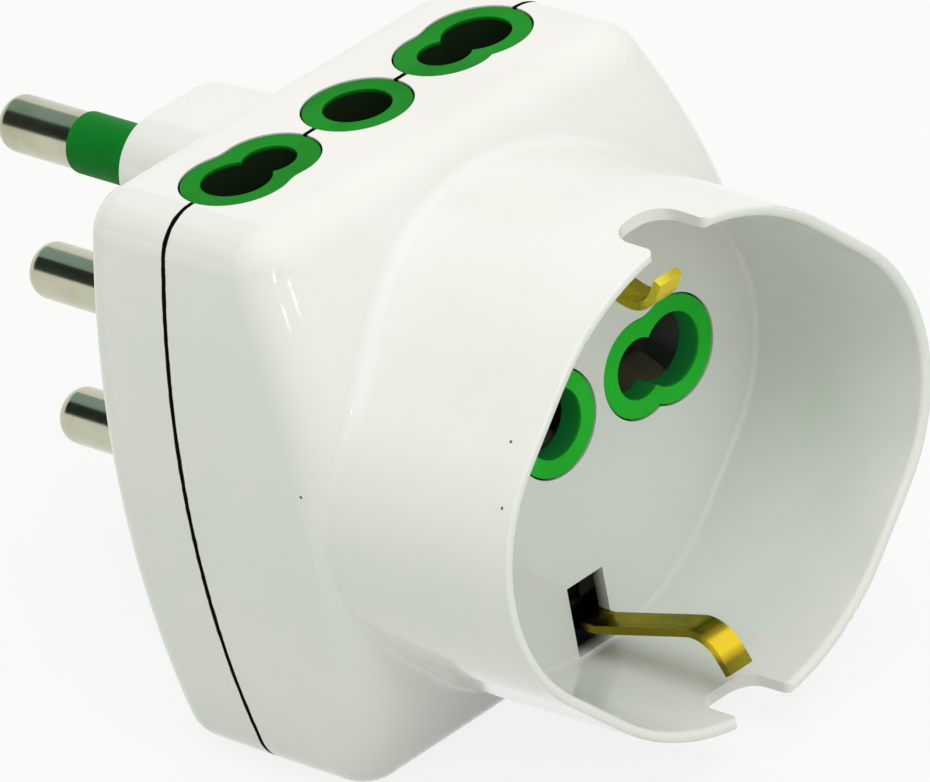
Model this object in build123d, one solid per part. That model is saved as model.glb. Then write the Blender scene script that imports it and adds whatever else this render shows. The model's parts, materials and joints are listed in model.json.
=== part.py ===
from build123d import *
import math
import os

# Plug: three round pins in a vertical line. The origin is on the earth pin's axis, at the plug face.
pin_diameter = 4.64
pin_pitch = 13.0
pin_length = 19.0
pin_tip_round = 1.3
pin_fit = 0.05
sleeve_length = 10.4
sleeve_proud = 0.18
sleeve_wall = 0.6
sleeve_seat = 3.0
anchor_step = 0.58
boss_width = 13.6
boss_height = 38.4
boss_depth = 12.2
boss_corner = 4.2
boss_draft = 2.0
boss_round = 1.0

# Body: two shells that meet at the seam, with bowed sides and flat top and bottom
body_width = 47.6
body_height = 47.28
side_radius = 88.0
corner_radius = 3.8
inner_corner = 0.8
wall = 2.0
rear_depth = 9.6
back_wall = 1.6
back_round = 3.0
front_depth = 16.7
front_crown = 44.0
front_round = 4.5
inner_bevel = 0.8
seam_gap = 0.36
seam_gap_depth = 0.9

# Round plug recess: an oval cup with two notches in its rim
cup_height = 39.2
cup_side_step = 0.25
cup_end_radius = 13.6
cup_wall = 1.45
cup_draft = 1.3
floor_depth = 15.5
floor_wall = 1.2
floor_round = 0.5
cup_depth = 17.5
rim_inner_round = 0.5
rim_outer_round = 0.25
crease_round = 1.2
floor_inset = 1.0
notch_width = 5.5
notch_depth = 4.9
notch_round = 2.2
notch_mouth_round = 0.8
notch_mouth_lift = 0.05

# Sockets: two pin spacings share one collar, with a round earth collar between. The front holes are wider
large_spacing = 26.0
small_spacing = 19.0
large_hole_radius = 2.78
small_hole_radius = 2.15
earth_hole_radius = 2.71
front_large_hole_radius = 2.95
front_small_hole_radius = 2.46
front_earth_hole_radius = 2.85
large_collar_radius = 4.3
small_collar_radius = 3.92
earth_collar_radius = 4.26
waist_round = 3.0
collar_gap = 0.15
collar_sink = 0.1
flange_gap = 0.3
flange_thickness = 1.0
shelf_thickness = 1.2
shelf_bearing = 0.4
shelf_width = 33.0
shelf_clearance = 0.1

# Contacts: strips riveted to the pins, with a spring jaw behind each collar
strip_thickness = 0.6
strip_width = 6.4
strip_length = 36.0
strip_corner = 0.8
strip_fit = 0.3
earth_strip_width = 5.0
arm_width = 6.0
rivet_radius = 1.5
rivet_head_radius = 2.2
rivet_head_thickness = 0.6
rivet_fit = 0.05
earth_tower_height = 2.5
earth_tower_wall = 1.7
leaf_thickness = 0.5
leaf_bend = 0.55
jaw_opening = 5.4
jaw_pinch = 4.0
jaw_mouth = 6.5
jaw_base = 3.75
jaw_mouth_length = 3.0
jaw_root_length = 5.2
jaw_top_clearance = 0.9
jaw_floor_clearance = 0.3
tab_length = 7.0
foot_length = 3.6

# Earth clips: one at each end of the recess, with a foot behind the floor and an arm through its slot
clip_width = 2.4
clip_thickness = 0.7
clip_root = 16.9
clip_nose = 14.0
clip_tip = 17.2
clip_nose_reach = 13.5
clip_tip_reach = 15.4
clip_upper_set = 0.9
clip_straight = 1.5
clip_bend = 1.0
clip_nose_bend = 3.0
clip_foot_end = 3.4
slot_width = 3.9
slot_inner = 13.35
slot_outer = 19.3
pad_width = 5.0
pad_length = 6.5
pad_end = 0.6

# Screws: two, from the back
screw_x = 18.2
screw_z = 10.0
screw_radius = 1.2
screw_head_radius = 2.3
screw_head_thickness = 1.5
screw_length = 11.0
screw_seat = 3.0
screw_fit = 0.1
screw_recess = 3.0
screw_slot = 0.8
post_wall = 1.4
post_tip_clearance = 1.0
tower_wall = 0.8

# Derived places
half_height = body_height / 2
pin_radius = pin_diameter / 2
anchor_radius = pin_radius + anchor_step
sleeve_radius = pin_radius + sleeve_proud
core_radius = sleeve_radius - sleeve_wall
seam_y = -(boss_depth + rear_depth)
inner_depth = rear_depth - back_wall
inner_y = seam_y + inner_depth
floor_back = floor_depth - floor_wall
cup_base = floor_back / 2
cup_width = body_width - 2 * (cup_wall + cup_side_step)
rim_depth = floor_depth + cup_depth
contact_x = (large_spacing + small_spacing) / 4
flange_width = (small_spacing / 2 - small_collar_radius - earth_collar_radius - flange_gap) / 2
flange_back = floor_back - flange_thickness
screw_well_radius = screw_head_radius + screw_fit
socket_planes = {
    "upper": Plane(origin=(0, seam_y, half_height), x_dir=(1, 0, 0), z_dir=(0, 0, 1)),
    "lower": Plane(origin=(0, seam_y, -half_height), x_dir=(1, 0, 0), z_dir=(0, 0, -1)),
    "front": Plane(origin=(0, seam_y - floor_depth, 0), x_dir=(1, 0, 0), z_dir=(0, -1, 0)),
}
socket_walls = {"upper": wall, "lower": wall, "front": floor_wall}
face_holes = (large_hole_radius, small_hole_radius, earth_hole_radius)
front_holes = (front_large_hole_radius, front_small_hole_radius, front_earth_hole_radius)
socket_holes = {"upper": face_holes, "lower": face_holes, "front": front_holes}
pole_sides = {"line": -1, "earth": 0, "neutral": 1}
screw_places = [(screw_x, screw_z), (-screw_x, -screw_z)]


# The plane at a depth in front of the seam, facing forward, with X to the right and Z up
def depth_plane(depth):
    return Plane(origin=(0, seam_y - depth, 0), x_dir=(1, 0, 0), z_dir=(0, -1, 0))


# A slab between two depths in front of the seam, from an outline in X and Z
def slab(outline, start, end):
    return extrude(depth_plane(start) * outline, end - start)


# How far a drafted wall leans in over a length
def draft_lean(length, draft):
    return length * math.tan(math.radians(draft))


# The bowed outline of the body, or its inside at an inset
def body_outline(inset=0.0):
    half_width = body_width / 2 - inset
    top = half_height - inset
    radius = side_radius - inset
    corner_x = half_width - radius + math.sqrt(radius**2 - top**2)
    edges = [
        Line((-corner_x, top), (corner_x, top)),
        ThreePointArc((corner_x, top), (half_width, 0), (corner_x, -top)),
        Line((corner_x, -top), (-corner_x, -top)),
        ThreePointArc((-corner_x, -top), (-half_width, 0), (-corner_x, top)),
    ]
    face = make_face(edges)
    return fillet(face.vertices(), max(corner_radius - inset, inner_corner))


# The oval of the recess: the hull of a round middle and two smaller round ends
def cup_outline(grow=0.0):
    end_x = (cup_width / 2) - cup_end_radius
    circles = [
        Circle(cup_height / 2 + grow),
        Pos(end_x, 0) * Circle(cup_end_radius + grow),
        Pos(-end_x, 0) * Circle(cup_end_radius + grow),
    ]
    return make_hull([circle.edge() for circle in circles])


# A collar's outline or bore on one pole, as round lobes that run together
def lobes(pole, large, small, middle, grow=0.0):
    side = pole_sides[pole]
    if side == 0:
        return Circle(middle + grow)
    outer = Pos(side * large_spacing / 2, 0) * Circle(large + grow)
    inner = Pos(side * small_spacing / 2, 0) * Circle(small + grow)
    return outer + inner


# The outline of a collar, with the waist between its lobes rounded out
def collar_outline(pole, grow=0.0):
    outline = lobes(pole, large_collar_radius, small_collar_radius, earth_collar_radius, grow)
    if pole_sides[pole] == 0:
        return outline
    for corner in outline.vertices():
        nearest = outline.vertices().sort_by_distance(corner)[0]
        outline = fillet(nearest, waist_round - grow)
    return outline


def collar_bore(socket, pole):
    return lobes(pole, *socket_holes[socket])


# Clearance holes for the collars through a socket's wall
def collar_holes(socket):
    holes = Sketch()
    for pole in pole_sides:
        holes += collar_outline(pole, collar_gap)
    thickness = socket_walls[socket]
    plane = socket_planes[socket].offset(thickness)
    return extrude(plane * holes, -2 * thickness - flange_thickness / 2)


def make_collar(socket, pole):
    plane = socket_planes[socket]
    thickness = socket_walls[socket]
    back = thickness + flange_thickness
    neck = extrude(plane.offset(-collar_sink) * collar_outline(pole), collar_sink - back)
    flange_plane = plane.offset(-thickness)
    flange = extrude(flange_plane * collar_outline(pole, flange_width), -flange_thickness)
    bore = extrude(plane * collar_bore(socket, pole), -2 * back)
    return neck + flange - bore


# Outlines of the strips' upright bars with room round them
def strip_beds():
    beds = Sketch()
    for side in pole_sides.values():
        width = strip_width if side else earth_strip_width
        bed = Rectangle(width + 2 * strip_fit, strip_length + 2 * strip_fit)
        beds += Pos(side * contact_x, 0) * bed
    return beds


# Ledges that hold the flanges of the upper and lower collars
def collar_shelves(near, far):
    top = half_height - wall - flange_thickness - shelf_clearance
    shelf = Pos(0, top - shelf_thickness / 2) * Rectangle(shelf_width, shelf_thickness)
    return slab(shelf + Rot(0, 0, 180) * shelf, near, far)


def make_rear_shell():
    body = slab(body_outline(), 0, -rear_depth)
    body = fillet(body.faces().sort_by(Axis.Y)[-1].edges(), back_round)
    lean = draft_lean(boss_depth + back_wall, boss_draft)
    boss_foot = RectangleRounded(boss_width + 2 * lean, boss_height + 2 * lean, boss_corner + lean)
    foot_plane = Plane(origin=(0, inner_y, 0), x_dir=(-1, 0, 0), z_dir=(0, 1, 0))
    boss = extrude(foot_plane * boss_foot, -inner_y, taper=boss_draft)
    boss = fillet(boss.faces().sort_by(Axis.Y)[-1].edges(), boss_round)
    shell = body + boss - slab(body_outline(wall), 0, -inner_depth)

    shelf_near = large_collar_radius + flange_width - shelf_bearing
    inside = collar_shelves(-shelf_near, -inner_depth) - slab(strip_beds(), 0, -inner_depth)
    tower = Circle(pin_radius + earth_tower_wall)
    inside += slab(tower, -inner_depth, -inner_depth + earth_tower_height)
    for x, z in screw_places:
        inside += slab(Pos(x, z) * Circle(screw_well_radius + tower_wall), 0, -inner_depth)
    shell += inside & body

    shell -= slab(Circle(anchor_radius + pin_fit), 0, seam_y)
    for z in (-pin_pitch, pin_pitch):
        shell -= slab(Pos(0, z) * Circle(sleeve_radius + pin_fit), 0, seam_y)
        shell -= slab(Pos(0, z) * Circle(anchor_radius + pin_fit), 0, seam_y + sleeve_seat)
    pocket_height = pin_pitch - 2 * anchor_radius - 2 * wall
    pocket = Rectangle(boss_width - 2 * wall, pocket_height)
    for z in (-pin_pitch / 2, pin_pitch / 2):
        shell -= slab(Pos(0, z) * pocket, -inner_depth, seam_y + wall)
    for x, z in screw_places:
        shell -= slab(Pos(x, z) * Circle(screw_radius + screw_fit), 0, -rear_depth)
        shell -= slab(Pos(x, z) * Circle(screw_well_radius), -screw_seat, -rear_depth)
    for socket in ("upper", "lower"):
        shell -= collar_holes(socket)
    rebate = slab(body_outline(), 0, -seam_gap) - slab(body_outline(seam_gap_depth), 0, -seam_gap)
    return shell - rebate


# A notch in the rim: a slot with a round end and a rounded mouth, open to the front
def rim_notches():
    slot = Rectangle(notch_width, 2 * notch_depth)
    slot = fillet(slot.vertices(), notch_round)
    mouth_width = notch_width + 4 * notch_mouth_round
    mouth = Pos(0, -notch_depth - notch_mouth_lift) * Rectangle(mouth_width, 2 * notch_depth)
    notch = slot + mouth
    notch = fillet(notch.vertices().sort_by_distance((0, 0))[:2], notch_mouth_round)
    plane = Plane(origin=(0, seam_y - rim_depth, 0), x_dir=(1, 0, 0), z_dir=(0, 0, 1))
    return extrude(plane * notch, cup_height, both=True)


# Openings in the recess floor for the arms of the earth clips
def clip_slots():
    length = slot_outer - slot_inner
    slot = Pos(0, (slot_outer + slot_inner) / 2) * Rectangle(slot_width, length)
    return slab(slot + Rot(0, 0, 180) * slot, flange_back, floor_depth + floor_round)


# The front body with its crowned face, or its inside at an inset
def front_form(inset=0.0):
    block = slab(body_outline(inset), 0, front_depth)
    crown = Cylinder(front_crown - inset, body_width, rotation=(0, 90, 0))
    return block & Pos(0, seam_y - front_depth + front_crown, 0) * crown


# The edges round the face that is furthest forward
def front_edges(form):
    return form.faces().sort_by(Axis.Y)[0].edges()


def make_front_shell():
    body = front_form()
    body = fillet(front_edges(body), front_round)
    lean = draft_lean(rim_depth - cup_base, cup_draft)
    cup_foot = depth_plane(cup_base) * cup_outline(cup_wall)
    cup_rim = depth_plane(rim_depth) * cup_outline(cup_wall - lean)
    cup = loft([cup_foot, cup_rim], ruled=True)
    shell = body + cup
    shell = fillet(new_edges(body, cup, combined=shell), crease_round)
    outer = shell

    recess = slab(cup_outline(), floor_depth, rim_depth)
    recess = fillet(recess.faces().sort_by(Axis.Y)[-1].edges(), floor_round)
    shell -= recess
    rim = shell.faces().sort_by(Axis.Y)[0]
    shell = fillet(rim.inner_wires()[0].edges(), rim_inner_round)
    rim = shell.faces().sort_by(Axis.Y)[0]
    shell = fillet(rim.outer_wire().edges(), rim_outer_round)
    shell -= rim_notches()
    inner_form = front_form(wall)
    inner_form = chamfer(front_edges(inner_form), inner_bevel)
    shell -= inner_form & slab(body_outline(), 0, floor_back)
    shell -= slab(cup_outline(-floor_inset), cup_base, floor_back)

    shelf_near = large_collar_radius + flange_width - shelf_bearing
    inside = collar_shelves(shelf_near, floor_back)
    for x, z in screw_places:
        inside += slab(Pos(x, z) * Circle(screw_radius + post_wall), 0, floor_back)
    pad_z = slot_inner - pad_end - pad_length / 2
    pad = Pos(0, pad_z) * Rectangle(pad_width, pad_length)
    inside += slab(pad + Rot(0, 0, 180) * pad, flange_back, floor_back)
    shell += inside & outer

    for x, z in screw_places:
        hole_depth = screw_length - screw_seat + post_tip_clearance
        shell -= slab(Pos(x, z) * Circle(screw_radius + screw_fit), 0, hole_depth)
    shell -= clip_slots()
    for socket in socket_planes:
        shell -= collar_holes(socket)
    return shell


# A pin turned from the rivet head at its inner end, past a thicker anchor, to its rounded tip
def make_pin(z, shoulder_y, clamped, sleeved):
    head_y = shoulder_y - clamped
    anchor_y = -sleeve_seat if sleeved else 0
    points = [
        (0, head_y - rivet_head_thickness),
        (rivet_head_radius, head_y - rivet_head_thickness),
        (rivet_head_radius, head_y),
        (rivet_radius, head_y),
        (rivet_radius, shoulder_y),
        (anchor_radius, shoulder_y),
        (anchor_radius, anchor_y),
    ]
    if sleeved:
        points += [
            (core_radius, anchor_y),
            (core_radius, sleeve_length),
            (pin_radius, sleeve_length),
        ]
    else:
        points.append((pin_radius, anchor_y))
    points += [(pin_radius, pin_length), (0, pin_length)]
    pin = revolve(make_face(Polyline(points, close=True)), Axis.Y)
    tip = pin.edges().filter_by(GeomType.CIRCLE).sort_by(Axis.Y)[-1]
    return Pos(0, 0, z) * fillet(tip, pin_tip_round)


def make_sleeve(z):
    tube = Circle(sleeve_radius) - Circle(core_radius)
    return slab(Pos(0, z) * tube, seam_y - sleeve_length, seam_y + sleeve_seat)


# The strip of a live pole: an upright bar behind the sockets and an arm to its pin
def make_live_strip(side):
    bar = Pos(-contact_x, 0) * RectangleRounded(strip_width, strip_length, strip_corner)
    arm_length = contact_x + arm_width / 2
    arm = RectangleRounded(arm_length, arm_width, strip_corner)
    outline = bar + Pos(-arm_length / 2 + arm_width / 2, pin_pitch) * arm
    outline -= Pos(0, pin_pitch) * Circle(rivet_radius + rivet_fit)
    turned = Rot(0, 0, 180) * outline if side > 0 else outline
    return slab(turned, -inner_depth, -inner_depth + strip_thickness)


def make_earth_strip():
    outline = RectangleRounded(earth_strip_width, strip_length, strip_corner)
    outline -= Circle(rivet_radius + rivet_fit)
    start = -inner_depth + earth_tower_height
    return slab(outline, start, start + strip_thickness)


# A leaf bent along a path in Y and Z, and centred on a pole
def bent_leaf(path, thickness, bend, width, x):
    line = FilletPolyline(*path, radius=bend)
    section = Plane.YZ * trace(line, thickness)
    return Pos(x, seam_y, 0) * extrude(section, width / 2, both=True)


# Half widths of a jaw's leaf, at its root, its pinch and its mouth
def jaw_half(opening):
    return (opening + leaf_thickness) / 2


# A jaw for an upper socket: two legs, a base, and a tab that lies on the strip
def make_upper_jaw(x, width, strip_face):
    root = jaw_half(jaw_opening)
    pinch = jaw_half(jaw_pinch)
    mouth = jaw_half(jaw_mouth)
    base = jaw_base + leaf_thickness / 2
    top = half_height - wall - flange_thickness - shelf_clearance - shelf_thickness - jaw_top_clearance
    tab = strip_face - leaf_thickness / 2
    path = [
        (-mouth, top),
        (-pinch, top - jaw_mouth_length),
        (-root, top - jaw_mouth_length - jaw_root_length),
        (-root, base),
        (root, base),
        (root, top - jaw_mouth_length - jaw_root_length),
        (pinch, top - jaw_mouth_length),
        (mouth, top),
        (tab, top),
        (tab, top - tab_length),
    ]
    return bent_leaf(path, leaf_thickness, leaf_bend, width, x)


# A jaw for the front socket: two long legs from a base that lies on the strip
def make_front_jaw(x, width, strip_face, tip_depth, footed):
    root = jaw_half(jaw_opening)
    pinch = jaw_half(jaw_pinch)
    mouth = jaw_half(jaw_mouth)
    tip = -tip_depth
    base = strip_face - leaf_thickness / 2
    leg = [
        (tip, mouth),
        (tip + jaw_mouth_length, pinch),
        (tip + jaw_mouth_length + jaw_root_length, root),
        (base, root),
    ]
    if footed:
        foot = tip + leaf_thickness / 2
        leg = [(foot, root + foot_length), (foot, root)] + leg[1:]
    other_leg = [(y, -z) for y, z in reversed(leg)]
    jaw = bent_leaf(leg + other_leg, leaf_thickness, leaf_bend, width, x)
    if footed:
        jaw -= slab(Circle(rivet_radius + rivet_fit), -rear_depth, 0)
    return jaw


# An earth clip: an arm that leans in to a nose near its tip, and a foot that lies behind the recess floor
def make_earth_clip(side, set_in):
    foot_depth = flange_back - clip_thickness / 2
    path = [
        (-(floor_depth + clip_tip_reach), clip_tip - set_in),
        (-(floor_depth + clip_nose_reach), clip_nose - set_in),
        (-(floor_depth + clip_straight), clip_root),
        (-foot_depth, clip_root),
        (-foot_depth, clip_foot_end),
    ]
    path = [(y, side * z) for y, z in path]
    bends = [clip_nose_bend, clip_bend, clip_bend]
    return bent_leaf(path, clip_thickness, bends, clip_width, 0)


# Round-headed screws with a crossed recess, one in each well at the back
def make_screws():
    screws = []
    seat = -screw_seat
    top = seat - screw_head_thickness
    recess = Rectangle(screw_recess, screw_slot)
    recess += Rot(0, 0, 90) * recess
    for x, z in screw_places:
        place = Pos(x, z)
        screw = slab(place * Circle(screw_head_radius), seat, top)
        screw += slab(place * Circle(screw_radius), seat, seat + screw_length)
        screw -= slab(place * recess, top + screw_head_thickness / 2, top)
        screws.append(screw)
    return Compound(children=screws)


def make_nodes():
    earth_strip_depth = inner_depth - earth_tower_height
    live_face = inner_depth - strip_thickness
    earth_face = earth_strip_depth - strip_thickness
    nodes = {
        "rear_shell": make_rear_shell(),
        "front_shell": make_front_shell(),
        "line_pin": make_pin(pin_pitch, inner_y, strip_thickness, True),
        "earth_pin": make_pin(
            0, seam_y + earth_strip_depth, strip_thickness + leaf_thickness, False
        ),
        "neutral_pin": make_pin(-pin_pitch, inner_y, strip_thickness, True),
        "line_pin_sleeve": make_sleeve(pin_pitch),
        "neutral_pin_sleeve": make_sleeve(-pin_pitch),
        "earth_strip": make_earth_strip(),
        "upper_earth_clip": make_earth_clip(1, clip_upper_set),
        "lower_earth_clip": make_earth_clip(-1, 0),
        "shell_screws": make_screws(),
    }
    for pole, side in pole_sides.items():
        if side == 0:
            width = earth_strip_width
            face = earth_face
            tip = flange_back - clip_thickness
        else:
            nodes[f"{pole}_strip"] = make_live_strip(side)
            width = strip_width
            face = live_face
            tip = flange_back - jaw_floor_clearance
        x = side * contact_x
        upper_jaw = make_upper_jaw(x, width, face)
        nodes[f"{pole}_upper_jaw"] = upper_jaw
        nodes[f"{pole}_lower_jaw"] = mirror(upper_jaw, Plane.XY)
        nodes[f"{pole}_front_jaw"] = make_front_jaw(x, width, face, tip, side == 0)
        for socket in socket_planes:
            nodes[f"{socket}_{pole}_collar"] = make_collar(socket, pole)
    return nodes


os.makedirs("parts", exist_ok=True)
for name, solid in make_nodes().items():
    export_step(solid, f"parts/{name}.step")
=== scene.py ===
import json
import math
import bpy
from mathutils import Matrix, Vector


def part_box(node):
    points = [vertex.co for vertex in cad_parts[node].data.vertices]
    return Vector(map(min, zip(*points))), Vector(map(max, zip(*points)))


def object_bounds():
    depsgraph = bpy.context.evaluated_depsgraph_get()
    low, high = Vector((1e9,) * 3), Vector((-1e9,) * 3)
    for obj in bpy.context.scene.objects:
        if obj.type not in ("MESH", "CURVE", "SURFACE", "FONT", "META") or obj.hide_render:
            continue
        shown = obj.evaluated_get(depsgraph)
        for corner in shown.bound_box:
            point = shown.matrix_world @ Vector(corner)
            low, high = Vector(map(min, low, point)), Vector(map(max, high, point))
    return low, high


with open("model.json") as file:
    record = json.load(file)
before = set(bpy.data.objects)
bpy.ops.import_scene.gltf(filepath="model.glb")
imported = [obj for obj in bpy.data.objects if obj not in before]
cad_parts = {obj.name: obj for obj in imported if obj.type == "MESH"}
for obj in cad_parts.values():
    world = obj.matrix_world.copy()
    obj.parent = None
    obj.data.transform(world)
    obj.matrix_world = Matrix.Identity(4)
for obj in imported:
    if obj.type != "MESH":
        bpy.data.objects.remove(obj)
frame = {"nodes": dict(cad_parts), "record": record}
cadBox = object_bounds()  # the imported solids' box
nodes = frame["nodes"]
scene = bpy.context.scene
mm = 0.001
print("frame loaded,", len(nodes), "nodes")


# material helpers

def newMaterial(name):
    mat = bpy.data.materials.new(name)
    mat.use_nodes = True
    tree = mat.node_tree
    tree.nodes.clear()
    out = tree.nodes.new("ShaderNodeOutputMaterial")
    shader = tree.nodes.new("ShaderNodeBsdfPrincipled")
    tree.links.new(shader.outputs["BSDF"], out.inputs["Surface"])
    return mat, tree, shader


def addNode(tree, kind, **values):
    node = tree.nodes.new(kind)
    for key, value in values.items():
        setattr(node, key, value)
    return node


def objectPlace(tree, stretch=(1, 1, 1)):  # object coordinates, stretched for streaks
    coord = addNode(tree, "ShaderNodeTexCoord")
    mapping = addNode(tree, "ShaderNodeMapping")
    mapping.inputs["Scale"].default_value = stretch
    tree.links.new(coord.outputs["Object"], mapping.inputs["Vector"])
    return mapping.outputs["Vector"]


def noiseOn(tree, place, scale, detail=3.0, roughness=0.5):
    noise = addNode(tree, "ShaderNodeTexNoise")
    noise.inputs["Scale"].default_value = scale
    noise.inputs["Detail"].default_value = detail
    noise.inputs["Roughness"].default_value = roughness
    tree.links.new(place, noise.inputs["Vector"])
    return noise.outputs["Fac"]


def ramp(tree, source, low, high, lowValue=0.0, highValue=1.0):  # clamped map range
    node = addNode(tree, "ShaderNodeMapRange")
    for key, value in (("From Min", low), ("From Max", high), ("To Min", lowValue), ("To Max", highValue)):
        node.inputs[key].default_value = value
    tree.links.new(source, node.inputs["Value"])
    return node.outputs["Result"]


def blendColour(tree, factor, first, second):
    mix = addNode(tree, "ShaderNodeMix", data_type="RGBA")
    tree.links.new(factor, mix.inputs["Factor"])
    for key, value in (("A", first), ("B", second)):
        socket = [s for s in mix.inputs if s.name == key and s.type == "RGBA"][0]
        if isinstance(value, tuple):
            socket.default_value = (*value, 1.0)
        else:
            tree.links.new(value, socket)
    return [s for s in mix.outputs if s.type == "RGBA"][0]


def mathNode(tree, operation, first, second=None):
    node = addNode(tree, "ShaderNodeMath", operation=operation)
    for index, value in enumerate((first, second)):
        if value is None:
            continue
        if isinstance(value, (int, float)):
            node.inputs[index].default_value = value
        else:
            tree.links.new(value, node.inputs[index])
    return node.outputs["Value"]


def bumpFrom(tree, height, strength, distance, below=None):
    bump = addNode(tree, "ShaderNodeBump")
    bump.inputs["Strength"].default_value = strength
    bump.inputs["Distance"].default_value = distance
    tree.links.new(height, bump.inputs["Height"])
    if below is not None:
        tree.links.new(below, bump.inputs["Normal"])
    return bump.outputs["Normal"]


def axesOf(tree, place):
    axes = addNode(tree, "ShaderNodeSeparateXYZ")
    tree.links.new(place, axes.inputs["Vector"])
    return [axes.outputs[key] for key in ("X", "Y", "Z")]


def withinBox(tree, place, middle, half, soft):  # 1 inside the box, 0 outside, with soft sides
    mask = None
    for axis, centre, reach in zip(axesOf(tree, place), middle, half):
        away = mathNode(tree, "ABSOLUTE", mathNode(tree, "SUBTRACT", axis, centre))
        near = ramp(tree, away, reach - soft, reach, 1.0, 0.0)
        mask = near if mask is None else mathNode(tree, "MULTIPLY", mask, near)
    return mask


# where the faces of the part lie, taken from its nodes

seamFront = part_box("front_shell")[1].y
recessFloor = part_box("front_earth_collar")[0].y
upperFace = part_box("upper_earth_collar")[1].z
screwVerts = [v.co for v in nodes["shell_screws"].data.vertices]
screwAxes = []
for side in (-1, 1):
    own = [(v.x, v.z) for v in screwVerts if v.x * side > 0]
    screwAxes.append([(min(c) + max(c)) / 2 for c in zip(*own)])
print("screws at", [[round(c / mm, 2) for c in axis] for axis in screwAxes])


# white moulded shells

whiteShell = {
    "pale": (0.845, 0.838, 0.828),
    "deep": (0.805, 0.812, 0.790),
    "seamShade": (0.010, 0.014, 0.008),
    "hollowShade": (0.020, 0.020, 0.017),       # painted shade inside the part, seen through slots, holes and gaps
    "insideHalf": (19.5 * mm, 19.8 * mm),  # half width and half height of the hollow, an oval
    "insideEdge": 0.95,                    # where the oval starts to fade
    "insideFront": (0.2 * mm, 1.3 * mm),   # behind the recess floor, where the shade starts and is full
    "insideBack": (-14.8 * mm, -14.4 * mm),  # where the shade ends again, at the back wall
    "wellRadius": (2.45 * mm, 2.6 * mm),   # the screws' wells, which stay white
    "seatHalf": (18.4 * mm, 5.6 * mm),     # half width and half depth of the collars' seats, which get the painted shade too
    "seatSoft": 0.12 * mm,
    "speck": (0.07, 0.08, 0.05),
    "specks": ((-23.6, -34.6, 4.9), (-17.8, -52.4, 11.2), (-20.9, -53.6, 7.5)),  # dirt in the plastic, mm
    "speckRadius": 0.17 * mm,
    "mottle": 55.0,  # colour drift, per metre
    "mottleBand": (0.35, 0.65),
    "flow": 160.0,   # flow marks in the gloss, per metre, drawn out along the pull of the mould
    "flowStretch": (1, 0.25, 1),
    "flowBand": (0.3, 0.7),
    "roughness": (0.09, 0.14),
    "sink": 45.0,    # slow waves where the wall sank in the mould, per metre
    "sinkBump": (0.05, 0.4 * mm),  # strength and height
    "grain": 2600.0,  # mould texture, per metre
    "grainBump": (0.06, 0.08 * mm),
    "ior": 1.5,
    "seamWidth": 0.36 * mm,
    "seamCreep": (0.02 * mm, 0.09 * mm),  # how far the painted shade comes out of the groove
    "seamSoft": 0.02 * mm,
    "fray": 900.0,
    "frayBand": (0.4, 0.7),
}


def seamShadeMask(tree, place):  # painted shade down in the groove between the shells, with a frayed edge
    along = axesOf(tree, place)[1]
    fray = noiseOn(tree, place, whiteShell["fray"], roughness=0.6)
    creep = ramp(tree, fray, *whiteShell["frayBand"], *whiteShell["seamCreep"])
    back = seamFront + whiteShell["seamWidth"]
    soft = whiteShell["seamSoft"]
    low = ramp(tree, mathNode(tree, "ADD", along, creep), seamFront - soft, seamFront)
    high = ramp(tree, mathNode(tree, "SUBTRACT", along, creep), back, back + soft, 1.0, 0.0)
    return mathNode(tree, "MULTIPLY", low, high)


def ovalFrom(tree, across, up, middle, half):  # squared distance from an axis along Y, 1 on the oval
    total = None
    for axis, centre, reach in zip((across, up), middle, half):
        share = mathNode(tree, "DIVIDE", mathNode(tree, "SUBTRACT", axis, centre), reach)
        square = mathNode(tree, "MULTIPLY", share, share)
        total = square if total is None else mathNode(tree, "ADD", total, square)
    return total


# painted shade in the hollow behind the recess floor and in the seats of the upper and lower collars
def insideShadeMask(tree, place):
    across, along, up = axesOf(tree, place)
    fromMiddle = ovalFrom(tree, across, up, (0, 0), whiteShell["insideHalf"])
    oval = ramp(tree, fromMiddle, whiteShell["insideEdge"], 1.0, 1.0, 0.0)
    start, full = whiteShell["insideFront"]
    behind = ramp(tree, along, recessFloor + start, recessFloor + full)
    before = ramp(tree, along, *whiteShell["insideBack"], 1.0, 0.0)
    hollowShade = mathNode(tree, "MULTIPLY", oval, mathNode(tree, "MULTIPLY", behind, before))
    inner, outer = whiteShell["wellRadius"]
    for middle in screwAxes:
        clear = ovalFrom(tree, across, up, middle, (outer, outer))
        hollowShade = mathNode(tree, "MULTIPLY", hollowShade, ramp(tree, clear, (inner / outer) ** 2, 1.0))
    seatHalf = (*whiteShell["seatHalf"], upperFace)
    seats = withinBox(tree, place, (0, seamFront, 0), seatHalf, whiteShell["seatSoft"])
    return mathNode(tree, "MAXIMUM", hollowShade, seats)


def speckMask(tree, place):
    mask = None
    radius = whiteShell["speckRadius"]
    for spot in whiteShell["specks"]:
        gap = addNode(tree, "ShaderNodeVectorMath", operation="DISTANCE")
        tree.links.new(place, gap.inputs[0])
        gap.inputs[1].default_value = [c * mm for c in spot]
        near = ramp(tree, gap.outputs["Value"], radius / 2, radius, 1.0, 0.0)
        mask = near if mask is None else mathNode(tree, "MAXIMUM", mask, near)
    return mask


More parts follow.
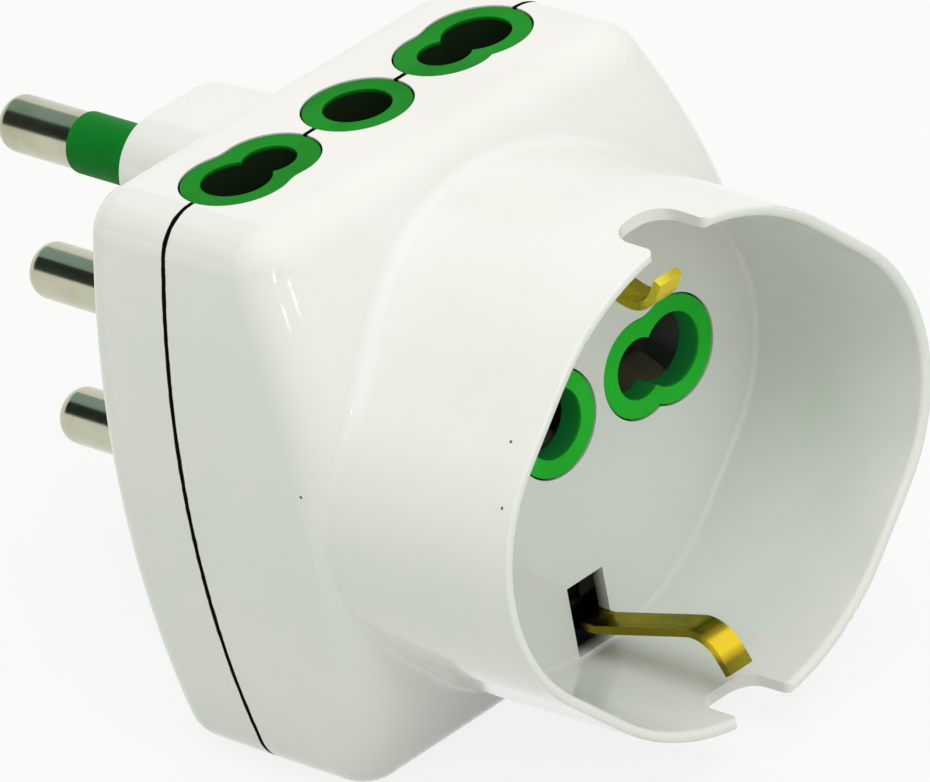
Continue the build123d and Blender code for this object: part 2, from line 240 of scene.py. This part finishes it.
def makeWhiteShell():
    mat, tree, shader = newMaterial("white_moulded_plastic")
    place = objectPlace(tree)
    mottle = noiseOn(tree, place, whiteShell["mottle"], detail=4.0, roughness=0.6)
    drift = ramp(tree, mottle, *whiteShell["mottleBand"])
    colour = blendColour(tree, drift, whiteShell["pale"], whiteShell["deep"])
    colour = blendColour(tree, speckMask(tree, place), colour, whiteShell["speck"])
    # painted shade inside the shell and in the collars' seats
    colour = blendColour(tree, insideShadeMask(tree, place), colour, whiteShell["hollowShade"])
    # painted shade in the groove between the shells
    colour = blendColour(tree, seamShadeMask(tree, place), colour, whiteShell["seamShade"])
    tree.links.new(colour, shader.inputs["Base Color"])

    flow = noiseOn(tree, objectPlace(tree, whiteShell["flowStretch"]), whiteShell["flow"])
    sheen = ramp(tree, flow, *whiteShell["flowBand"], *whiteShell["roughness"])
    tree.links.new(sheen, shader.inputs["Roughness"])
    sink = noiseOn(tree, place, whiteShell["sink"], detail=1.0)
    wave = bumpFrom(tree, sink, *whiteShell["sinkBump"])
    texture = noiseOn(tree, place, whiteShell["grain"], detail=2.0)
    grain = bumpFrom(tree, texture, *whiteShell["grainBump"], wave)
    tree.links.new(grain, shader.inputs["Normal"])
    shader.inputs["IOR"].default_value = whiteShell["ior"]
    return mat


# green collars and sleeves

greenCollar = {
    "mottle": 140.0,  # colour drift, per metre
    "satin": 400.0,   # patches in the gloss, per metre
    "noiseBand": (0.3, 0.7),
    "roughness": (0.40, 0.55),
    "grain": 3200.0,  # mould texture, per metre
    "grainBump": (0.12, 0.1 * mm),  # strength and height
    "gloss": 0.05,
    "boreStart": 0.10 * mm,  # depth at which the shade in a hole begins, and where it is full
    "boreFull": 0.32 * mm,
    # painted shade in the holes: black inside the sockets in the upper and lower face, a dim green inside
    # those in the recess
    "face": {"bright": (0.005, 0.265, 0.012), "dull": (0.003, 0.195, 0.008), "bore": (0.012, 0.022, 0.010)},
    # the recess collars are a lighter copy of the same green, painted light
    "recessLit": {"bright": (0.028, 0.60, 0.042), "dull": (0.021, 0.49, 0.033), "bore": (0.016, 0.31, 0.070)},
    "sleeve": {"bright": (0.005, 0.215, 0.022), "dull": (0.003, 0.160, 0.016), "bore": None},
}


def boreShade(tree, place, site):  # where the painted shade in a hole goes, by how deep a point lies below the face that its collar is in
    along, up = axesOf(tree, place)[1:]
    if site == "face":
        depth = mathNode(tree, "SUBTRACT", upperFace, mathNode(tree, "ABSOLUTE", up))
    else:
        depth = mathNode(tree, "SUBTRACT", along, recessFloor)
    return ramp(tree, depth, greenCollar["boreStart"], greenCollar["boreFull"])


def makeGreenPlastic(site):
    tone = greenCollar[site]
    mat, tree, shader = newMaterial("green_" + site + "_plastic")
    place = objectPlace(tree)
    mottle = noiseOn(tree, place, greenCollar["mottle"], detail=4.0, roughness=0.6)
    drift = ramp(tree, mottle, *greenCollar["noiseBand"])
    colour = blendColour(tree, drift, tone["bright"], tone["dull"])
    if tone["bore"]:
        # painted shade deeper in the holes
        colour = blendColour(tree, boreShade(tree, place, site), colour, tone["bore"])
    tree.links.new(colour, shader.inputs["Base Color"])
    satin = noiseOn(tree, place, greenCollar["satin"])
    sheen = ramp(tree, satin, *greenCollar["noiseBand"], *greenCollar["roughness"])
    tree.links.new(sheen, shader.inputs["Roughness"])
    texture = noiseOn(tree, place, greenCollar["grain"], detail=2.0)
    grain = bumpFrom(tree, texture, *greenCollar["grainBump"])
    tree.links.new(grain, shader.inputs["Normal"])
    shader.inputs["Specular IOR Level"].default_value = greenCollar["gloss"]
    return mat


# plated pins

platedPin = {
    "clean": (0.52, 0.525, 0.40),
    "worn": (0.43, 0.41, 0.28),
    "wear": 190.0,    # worn patches, per metre
    "wearBand": (0.45, 0.75),
    "scuff": 900.0,   # scuffs in the gloss, per metre, drawn out along the pin
    "scuffStretch": (1, 0.04, 1),
    "scuffBand": (0.35, 0.75),
    "roughness": (0.15, 0.25),
    "rings": 5200.0,  # turning marks, per metre along the pin
    "ringStretch": (0.01, 1, 0.01),
    "ringBump": (0.04, 0.04 * mm),  # strength and height
}


def makePlatedPin():
    mat, tree, shader = newMaterial("plated_pin_metal")
    place = objectPlace(tree)
    wear = noiseOn(tree, place, platedPin["wear"], detail=4.0, roughness=0.6)
    patches = ramp(tree, wear, *platedPin["wearBand"])
    colour = blendColour(tree, patches, platedPin["clean"], platedPin["worn"])
    tree.links.new(colour, shader.inputs["Base Color"])
    drawn = objectPlace(tree, platedPin["scuffStretch"])
    scuffs = noiseOn(tree, drawn, platedPin["scuff"], roughness=0.6)
    sheen = ramp(tree, scuffs, *platedPin["scuffBand"], *platedPin["roughness"])
    tree.links.new(sheen, shader.inputs["Roughness"])
    turned = noiseOn(tree, objectPlace(tree, platedPin["ringStretch"]), platedPin["rings"], detail=2.0)
    tree.links.new(bumpFrom(tree, turned, *platedPin["ringBump"]), shader.inputs["Normal"])
    shader.inputs["Metallic"].default_value = 1.0
    return mat


# brass clips, which show, and the strips and jaws inside, in a darker and duller copy of the brass that
# paints the shade inside the part

brassSheet = {
    # the lower clip is a darker copy of the same brass, painted shade
    "upper": {"bright": (0.62, 0.50, 0.040), "tarnish": (0.40, 0.34, 0.030), "paintedHighlight": (1.0, 0.78, 0.070)},
    "lower": {"bright": (0.32, 0.25, 0.020), "tarnish": (0.13, 0.12, 0.014), "paintedHighlight": (0.90, 0.64, 0.035)},
    "highlightFrom": (-50.3 * mm, -51.2 * mm),  # painted highlight on the noses of the clips, where they catch the light
    "highlightTo": (-15.5 * mm, -16.3 * mm),    # the painted highlight stops towards the end of the lower one
    "root": (0.010, 0.010, 0.006),           # painted shade in the slot and behind the recess floor
    "rootFrom": 0.6 * mm,
    "edge": (0.80, 0.83, 0.52),              # tint of the mirror image at low angles
    # painted shade: the strips and jaws inside are a dark, dull copy of the brass
    "dull": (0.17, 0.145, 0.095),
    "dark": (0.11, 0.095, 0.060),
    "dullMetal": 0.3,
    "dullRoughness": (0.45, 0.65),
    "clipRoughness": (0.20, 0.36),
    "tarnishScale": 150.0,  # patches, per metre
    "tarnishBand": (0.38, 0.68),
    "rolledStretch": (1, 0.03, 0.03),  # along the strip
    "rolled": 2400.0,       # rolling lines, per metre
    "rolledBump": (0.10, 0.06 * mm),   # strength and height
    "streaks": 800.0,       # dark streaks, per metre
    "streakBand": (0.42, 0.62),
}


def paintedHighlightMask(tree, place):
    along, up = axesOf(tree, place)[1:]
    start, full = brassSheet["highlightFrom"]
    last, gone = brassSheet["highlightTo"]
    ahead = ramp(tree, along, full, start, 1.0, 0.0)
    within = ramp(tree, up, gone, last)
    return mathNode(tree, "MULTIPLY", ahead, within)


def brassPatches(tree, place):
    tarnish = noiseOn(tree, place, brassSheet["tarnishScale"], detail=5.0, roughness=0.65)
    return ramp(tree, tarnish, *brassSheet["tarnishBand"])


def rollingLines(tree, shader):
    drawn = objectPlace(tree, brassSheet["rolledStretch"])
    lines = noiseOn(tree, drawn, brassSheet["rolled"], detail=2.0)
    tree.links.new(bumpFrom(tree, lines, *brassSheet["rolledBump"]), shader.inputs["Normal"])
    return drawn


def makeBrassClip(end):
    tone = brassSheet[end]
    mat, tree, shader = newMaterial("brass_clip_" + end)
    place = objectPlace(tree)
    patches = brassPatches(tree, place)
    drawn = rollingLines(tree, shader)
    streaks = ramp(tree, noiseOn(tree, drawn, brassSheet["streaks"], detail=2.0), *brassSheet["streakBand"])
    colour = blendColour(tree, mathNode(tree, "MAXIMUM", patches, streaks), tone["bright"], tone["tarnish"])
    # painted highlight on the noses of the clips
    colour = blendColour(tree, paintedHighlightMask(tree, place), colour, tone["paintedHighlight"])
    # painted shade where the clip runs into the slot
    root = ramp(tree, axesOf(tree, place)[1], recessFloor - brassSheet["rootFrom"], recessFloor)
    tree.links.new(blendColour(tree, root, colour, brassSheet["root"]), shader.inputs["Base Color"])
    tree.links.new(ramp(tree, patches, 0.0, 1.0, *brassSheet["clipRoughness"]), shader.inputs["Roughness"])
    shader.inputs["Specular Tint"].default_value = (*brassSheet["edge"], 1.0)
    shader.inputs["Metallic"].default_value = 1.0
    return mat


def makeShadedInnerBrass():
    # painted shade inside the part, as a dark and dull brass
    mat, tree, shader = newMaterial("shaded_inner_brass")
    patches = brassPatches(tree, objectPlace(tree))
    colour = blendColour(tree, patches, brassSheet["dull"], brassSheet["dark"])
    tree.links.new(colour, shader.inputs["Base Color"])
    tree.links.new(ramp(tree, patches, 0.0, 1.0, *brassSheet["dullRoughness"]), shader.inputs["Roughness"])
    rollingLines(tree, shader)
    shader.inputs["Metallic"].default_value = brassSheet["dullMetal"]
    return mat


# zinc screws at the back

zincScrew = {
    "pale": (0.58, 0.58, 0.57),
    "dark": (0.34, 0.34, 0.35),
    "spangle": 700.0,  # patches, per metre
    "spangleBand": (0.35, 0.65),
    "roughness": (0.28, 0.45),
    "grain": 3000.0,
    "grainBump": (0.15, 0.05 * mm),  # strength and height
}


def makeZincScrew():
    mat, tree, shader = newMaterial("zinc_screw_steel")
    place = objectPlace(tree)
    spangle = noiseOn(tree, place, zincScrew["spangle"], detail=4.0, roughness=0.6)
    patches = ramp(tree, spangle, *zincScrew["spangleBand"])
    colour = blendColour(tree, patches, zincScrew["pale"], zincScrew["dark"])
    tree.links.new(colour, shader.inputs["Base Color"])
    tree.links.new(ramp(tree, patches, 0.0, 1.0, *zincScrew["roughness"]), shader.inputs["Roughness"])
    grain = noiseOn(tree, place, zincScrew["grain"], detail=2.0)
    tree.links.new(bumpFrom(tree, grain, *zincScrew["grainBump"]), shader.inputs["Normal"])
    shader.inputs["Metallic"].default_value = 1.0
    return mat


finishes = {
    "white_plastic": makeWhiteShell(),
    "green_plastic": makeGreenPlastic("face"),
    "plated_metal": makePlatedPin(),
    "brass": makeShadedInnerBrass(),
    "screw_steel": makeZincScrew(),
}
# a lighter copy of the green for the recess collars, painted light
recessLitGreen = makeGreenPlastic("recessLit")
sleeveGreen = makeGreenPlastic("sleeve")
ownFinish = {f"front_{pole}_collar": recessLitGreen for pole in ("line", "earth", "neutral")}
ownFinish.update({f"{pole}_pin_sleeve": sleeveGreen for pole in ("line", "neutral")})
ownFinish.update({f"{end}_earth_clip": makeBrassClip(end) for end in ("upper", "lower")})
for entry in frame["record"]["subparts"]:
    name = entry["node"]
    mesh = nodes[name].data
    mesh.materials.clear()
    mesh.materials.append(ownFinish.get(name, finishes[entry["material_slot"]]))


# camera, at the photograph's angle

view = {
    "aim": (2.47 * mm, -24.92 * mm, -1.46 * mm),  # what lies at the middle of the picture
    "distance": 0.9,
    "azimuth": -40.778,   # degrees, from the front towards +X
    "elevation": 27.153,
    "roll": 10.837,
    "lens": 458.25,
    "sensor": 36.0,
    "clipStart": 0.01,
}


def placeCamera():
    turn = math.radians(view["azimuth"])
    rise = math.radians(view["elevation"])
    roll = math.radians(view["roll"])
    back = Vector((math.sin(turn) * math.cos(rise), -math.cos(turn) * math.cos(rise), math.sin(rise)))
    right = Vector((0, 0, 1)).cross(back).normalized()
    up = back.cross(right)
    rolledRight = math.cos(roll) * right - math.sin(roll) * up
    rolledUp = math.cos(roll) * up + math.sin(roll) * right
    data = bpy.data.cameras.new("photo_camera")
    data.sensor_fit = "HORIZONTAL"
    data.sensor_width = view["sensor"]
    data.lens = view["lens"]
    data.clip_start = view["clipStart"]
    camera = bpy.data.objects.new("photo_camera", data)
    scene.collection.objects.link(camera)
    turned = Matrix((rolledRight, rolledUp, back)).transposed().to_4x4()
    camera.matrix_world = Matrix.Translation(Vector(view["aim"]) + back * view["distance"]) @ turned
    scene.camera = camera


placeCamera()
print("camera placed")


# pale floor and white surround

studio = {
    "floorSize": 6.0,
    "floorColour": (0.72, 0.73, 0.70),
    "floorFade": 0.985,      # how far the colour drifts
    "floorMottle": 8.0,
    "floorBand": (0.3, 0.7),
    "floorRoughness": 0.7,
    "floorWhite": 0.85,      # share of plain white that the camera sees on the floor
    "surround": (0.86, 1.0, 0.85),
    "surroundStrength": 0.60,
}


def makeFloor():
    bottom = cadBox[0][2]
    half = studio["floorSize"] / 2
    corners = [(-half, -half, bottom), (half, -half, bottom), (half, half, bottom), (-half, half, bottom)]
    mesh = bpy.data.meshes.new("floor")
    mesh.from_pydata(corners, [], [(0, 1, 2, 3)])
    floor = bpy.data.objects.new("floor", mesh)
    scene.collection.objects.link(floor)

    mat, tree, shader = newMaterial("pale_floor")
    place = objectPlace(tree)
    shade = ramp(tree, noiseOn(tree, place, studio["floorMottle"]), *studio["floorBand"])
    pale = studio["floorColour"]
    faded = tuple(c * studio["floorFade"] for c in pale)
    tree.links.new(blendColour(tree, shade, pale, faded), shader.inputs["Base Color"])
    shader.inputs["Roughness"].default_value = studio["floorRoughness"]
    white = addNode(tree, "ShaderNodeEmission")
    mix = addNode(tree, "ShaderNodeMixShader")
    path = addNode(tree, "ShaderNodeLightPath")
    seen = mathNode(tree, "MULTIPLY", path.outputs["Is Camera Ray"], studio["floorWhite"])
    for ray in ("Is Glossy Ray", "Is Transmission Ray"):
        seen = mathNode(tree, "MAXIMUM", seen, path.outputs[ray])
    tree.links.new(seen, mix.inputs["Fac"])
    tree.links.new(shader.outputs["BSDF"], mix.inputs[1])
    tree.links.new(white.outputs["Emission"], mix.inputs[2])
    out = [n for n in tree.nodes if n.type == "OUTPUT_MATERIAL"][0]
    tree.links.new(mix.outputs["Shader"], out.inputs["Surface"])
    mesh.materials.append(mat)


def makeSurround():
    world = bpy.data.worlds.new("white_surround")
    scene.world = world
    world.use_nodes = True
    tree = world.node_tree
    tree.nodes.clear()
    out = addNode(tree, "ShaderNodeOutputWorld")
    glow = addNode(tree, "ShaderNodeBackground")
    glow.inputs["Color"].default_value = (*studio["surround"], 1.0)
    glow.inputs["Strength"].default_value = studio["surroundStrength"]
    plain = addNode(tree, "ShaderNodeBackground")
    plain.inputs["Color"].default_value = (1, 1, 1, 1)
    plain.inputs["Strength"].default_value = 1.0
    path = addNode(tree, "ShaderNodeLightPath")
    seen = mathNode(tree, "MAXIMUM", path.outputs["Is Camera Ray"], path.outputs["Is Glossy Ray"])
    seen = mathNode(tree, "MAXIMUM", seen, path.outputs["Is Transmission Ray"])
    mix = addNode(tree, "ShaderNodeMixShader")
    tree.links.new(seen, mix.inputs["Fac"])
    tree.links.new(glow.outputs["Background"], mix.inputs[1])
    tree.links.new(plain.outputs["Background"], mix.inputs[2])
    tree.links.new(mix.outputs["Shader"], out.inputs["Surface"])


makeFloor()
makeSurround()
print("floor and surround made")


# two cards that the pins mirror, as a dark line with a grey one above it

cards = {
    "dark_card": {"towards": (-0.48, 0.67, 0.57), "across": 0.126, "colour": (0.008, 0.018, 0.015)},
    "grey_card": {"towards": (0.07, 0.67, 0.74), "across": 0.123, "colour": (0.44, 0.60, 0.62)},
}
cardDistance = 0.15  # near, so that the cup doesn't mirror them
cardLength = 0.10


def makeCard(name, card):
    long = cardLength / 2
    wide = card["across"] / 2
    corners = [(-long, -wide, 0), (long, -wide, 0), (long, wide, 0), (-long, wide, 0)]
    mesh = bpy.data.meshes.new(name)
    mesh.from_pydata(corners, [], [(0, 1, 2, 3)])
    plate = bpy.data.objects.new(name, mesh)
    scene.collection.objects.link(plate)
    away = Vector(card["towards"]).normalized()
    side = Vector((0, 1, 0)).cross(away).normalized()
    along = away.cross(side).normalized()
    turned = Matrix((along, side, away)).transposed().to_4x4()
    pins = [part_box(node) for node in ("line_pin", "neutral_pin")]
    middle = Vector((0, pins[0][1].y, (pins[0][1].z + pins[1][0].z) / 2))
    plate.matrix_world = Matrix.Translation(middle + away * cardDistance) @ turned
    mat, _, shader = newMaterial(name)
    shader.inputs["Base Color"].default_value = (*card["colour"], 1.0)
    shader.inputs["Roughness"].default_value = 1.0
    mesh.materials.append(mat)
    for reach in ("visible_camera", "visible_diffuse", "visible_shadow", "visible_transmission"):
        setattr(plate, reach, False)


for name, card in cards.items():
    makeCard(name, card)
print("cards set")


# soft studio lamps, and two small ones for the glints on the corner and the crease

lamps = {
    "overhead": {
        "from": (0.0, 0.0, 0.8), "size": 0.5, "power": 2.2,
        "colour": (1.0, 0.70, 0.85), "glints": False,
    },
    "frontKey": {
        "from": (-0.10, -0.45, 0.65), "size": 0.4, "power": 2.0,
        "colour": (0.95, 0.96, 0.95), "glints": False,
    },
    "glintLeft": {
        "from": (-0.65, -0.54, 0.37), "size": 0.04, "power": 0.10,
        "colour": (1.0, 1.0, 1.0), "glints": True,
    },
    "glintRight": {
        "from": (-0.30, -0.76, 0.45), "size": 0.05, "power": 0.16,
        "colour": (1.0, 1.0, 1.0), "glints": True,
    },
}
lampAim = (0, -0.03, 0)  # about the middle of the part


def addLamp(name, lamp):
    data = bpy.data.lights.new(name, "AREA")
    data.shape = "SQUARE"
    data.size = lamp["size"]
    data.energy = lamp["power"]
    data.color = lamp["colour"]
    light = bpy.data.objects.new(name, data)
    scene.collection.objects.link(light)
    light.visible_glossy = lamp["glints"]
    middle = Vector(lampAim)
    light.location = middle + Vector(lamp["from"])
    light.rotation_euler = (middle - light.location).to_track_quat("-Z", "Y").to_euler()


for name, lamp in lamps.items():
    addLamp(name, lamp)
scene.view_settings.view_transform = "Standard"
print("lamps set")
